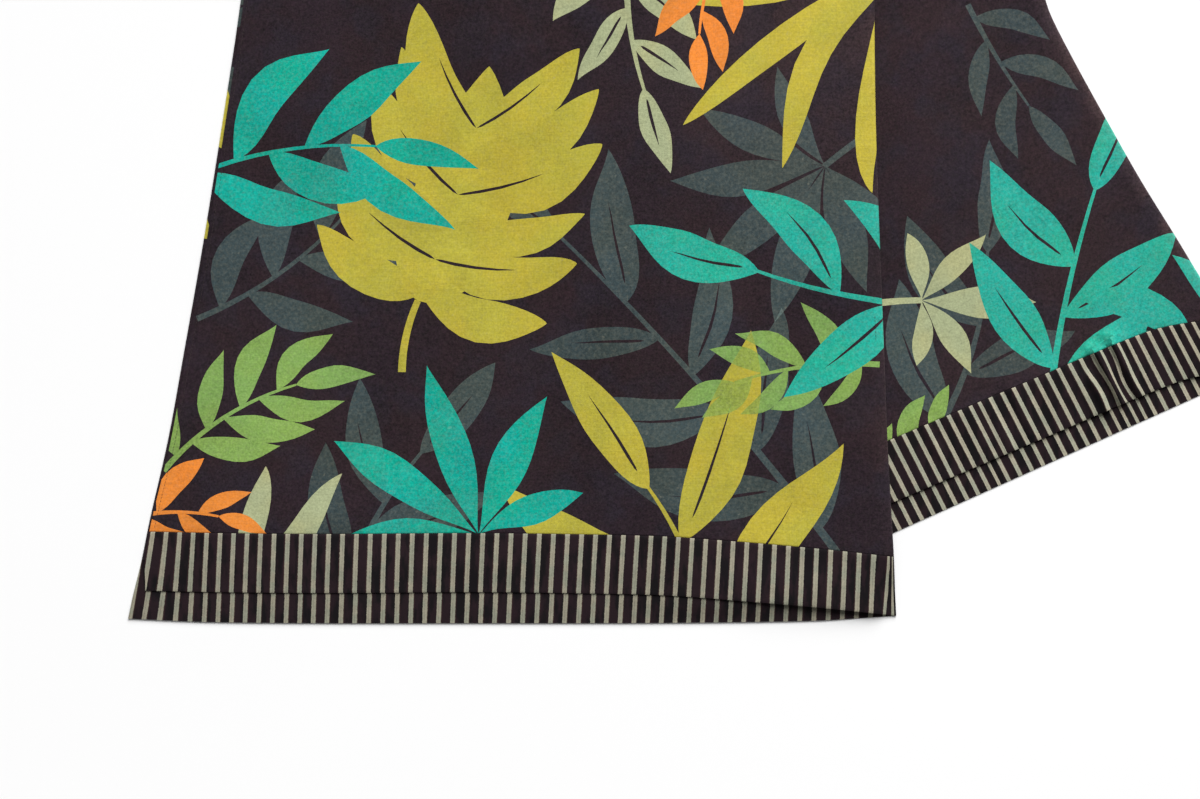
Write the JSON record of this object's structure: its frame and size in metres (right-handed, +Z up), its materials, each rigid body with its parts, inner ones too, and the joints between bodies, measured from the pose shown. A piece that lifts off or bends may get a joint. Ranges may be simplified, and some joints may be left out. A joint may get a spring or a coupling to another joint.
{
  "type": "folded sarong",
  "caption": "Printed cotton sarong with striped end bands, folded lengthwise, doubled crosswise and laid flat, its back stretch fanned out.",
  "frame": {"origin": "centre of the bounding box at the surface the cloth lies on", "axes": "+Z up from the surface, +Y along the front stretch from its hem to the top fold, +X to the right, towards the lengthwise fold"},
  "size_m": [0.811, 0.907, 0.0072],
  "materials": {
    "printed_cotton": "plain-weave cotton, matt with a slight sheen, dark aubergine ground with a leaf print",
    "striped_cotton": "plain-weave cotton, matt, narrow pale stripes on black and maroon"
  },
  "bodies": {
    "root": {"front_stretch": "printed_cotton", "back_stretch": "printed_cotton", "front_end_band": "striped_cotton", "back_end_band": "striped_cotton"}
  },
  "joints": []
}
